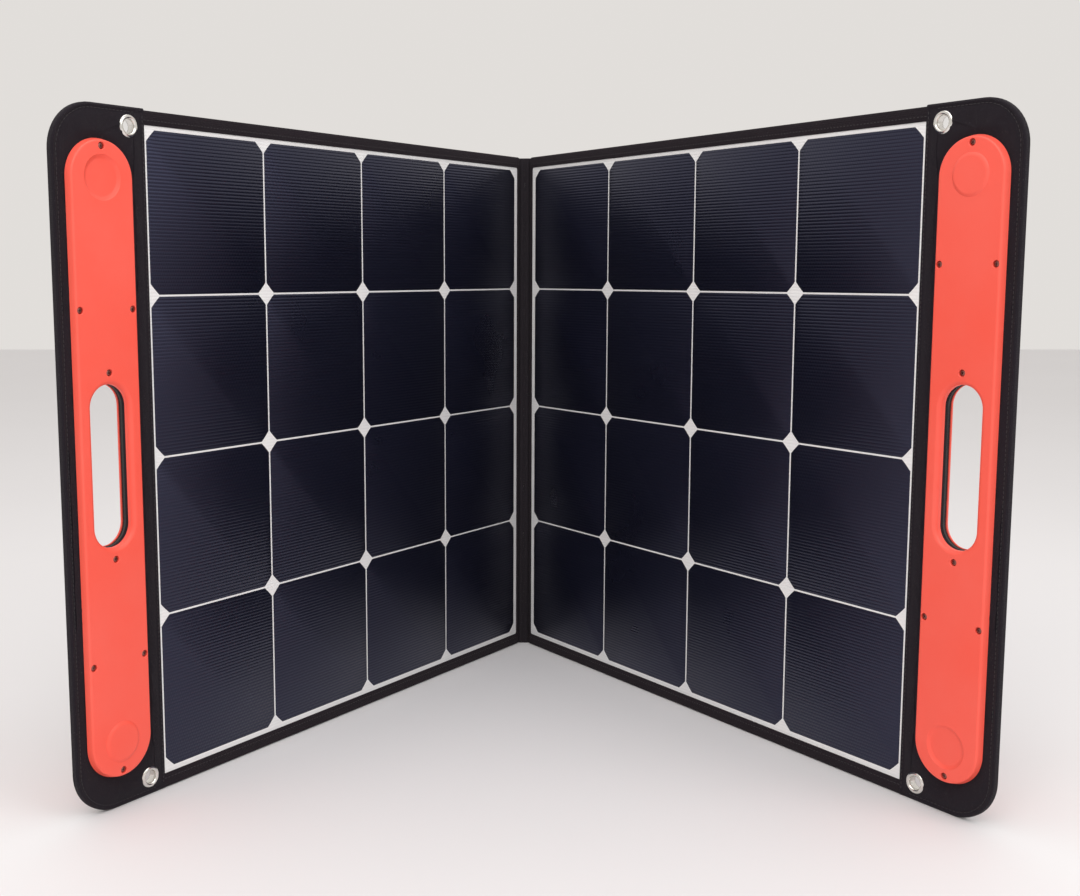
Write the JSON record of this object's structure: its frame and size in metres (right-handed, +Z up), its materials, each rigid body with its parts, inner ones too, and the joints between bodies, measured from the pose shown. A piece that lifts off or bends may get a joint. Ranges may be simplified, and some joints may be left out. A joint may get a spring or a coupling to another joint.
{
  "type": "folding solar panel",
  "caption": "Portable solar panel that folds like a book: two framed cell halves on a fabric spine, with orange grab handles, corner eyelets, fold-out stands and a zipped rear pocket.",
  "frame": {"origin": "on the ground, under the middle of the panel standing half open as a V", "axes": "+X across the two halves, -Y out of the open side that the cells face, +Z up along the fold"},
  "size_m": [0.6922, 0.5022, 0.5366],
  "materials": {
    "film": "clear fluoropolymer film with a fine embossed texture, satin",
    "cells": "back-contact silicon cells, near-black navy, satin",
    "back_sheet": "white polyester back sheet, matt",
    "board": "stiff laminated board, matt",
    "fabric": "fine plain-weave coated polyester, black with a brown-purple cast",
    "webbing": "ribbed polyester webbing, black",
    "orange_plastic": "moulded coral-orange plastic, satin with a fine grain",
    "black_steel": "dark zinc-plated steel",
    "nickel": "bright nickel plate with light scuffs",
    "black_plastic": "moulded black plastic, fine spark texture",
    "zip_tape": "woven zip tape with coil teeth, black",
    "zip_metal": "gunmetal zinc casting"
  },
  "bodies": {
    "spine": {"spine": "fabric"},
    "left_panel": {"left_core_board": "board", "left_back_sheet": "back_sheet", "left_cell_string": "cells", "left_front_film": "film", "left_border_binding": "fabric", "left_back_cover": "fabric", "left_junction_box": "black_plastic", "left_handle_sleeve": "fabric", "left_handle_front_plate": "orange_plastic", "left_handle_back_plate": "orange_plastic", "left_upper_magnet": "nickel", "left_lower_magnet": "nickel", "left_handle_screw_1": "black_steel", "left_handle_screw_2": "black_steel", "left_handle_screw_3": "black_steel", "left_handle_screw_4": "black_steel", "left_handle_screw_5": "black_steel", "left_handle_screw_6": "black_steel", "left_handle_screw_7": "black_steel", "left_handle_screw_8": "black_steel", "left_upper_eyelet": "nickel", "left_lower_eyelet": "nickel", "left_stand_hinge_web": "webbing", "left_stand_strap": "webbing"},
    "right_panel": {"right_core_board": "board", "right_back_sheet": "back_sheet", "right_cell_string": "cells", "right_front_film": "film", "right_border_binding": "fabric", "right_back_cover": "fabric", "right_junction_box": "black_plastic", "right_handle_sleeve": "fabric", "right_handle_front_plate": "orange_plastic", "right_handle_back_plate": "orange_plastic", "right_upper_magnet": "nickel", "right_lower_magnet": "nickel", "right_handle_screw_1": "black_steel", "right_handle_screw_2": "black_steel", "right_handle_screw_3": "black_steel", "right_handle_screw_4": "black_steel", "right_handle_screw_5": "black_steel", "right_handle_screw_6": "black_steel", "right_handle_screw_7": "black_steel", "right_handle_screw_8": "black_steel", "right_upper_eyelet": "nickel", "right_lower_eyelet": "nickel", "right_stand_hinge_web": "webbing", "right_stand_strap": "webbing", "cable_pocket": "fabric", "pocket_zip": "zip_tape", "output_box": "black_plastic", "port_block": "black_plastic", "cable_gland": "black_plastic"},
    "left_stand": {"left_stand_board": "fabric", "left_stand_pull_tab": "webbing"},
    "right_stand": {"right_stand_board": "fabric", "right_stand_pull_tab": "webbing"},
    "zip_slider": {"zip_slider": "zip_metal"}
  },
  "joints": [
    {"name": "left_fold", "type": "hinge", "parent": "spine", "child": "left_panel", "pos_m": [-0.007, 0.24986, 0.2683], "axis": [0, 0, 1], "range_deg": [-56, 33.6]},
    {"name": "right_fold", "type": "hinge", "parent": "spine", "child": "right_panel", "pos_m": [0.007, 0.24986, 0.2683], "axis": [0, 0, 1], "range_deg": [-33.6, 56]},
    {"name": "left_stand_swing", "type": "hinge", "parent": "left_panel", "child": "left_stand", "pos_m": [-0.0937, 0.1274, 0.4], "axis": [0.5592, 0.829, 0], "range_deg": [0, 50]},
    {"name": "right_stand_swing", "type": "hinge", "parent": "right_panel", "child": "right_stand", "pos_m": [0.0937, 0.1274, 0.4], "axis": [0.5592, -0.829, 0], "range_deg": [0, 50]},
    {"name": "zip_slide", "type": "slide", "parent": "right_panel", "child": "zip_slider", "axis": [-0.5592, 0.829, 0], "range_m": [0, 0.16]}
  ],
  "couplings": [
    {"joint": "right_fold", "follows": "left_fold", "ratio": -1}
  ]
}
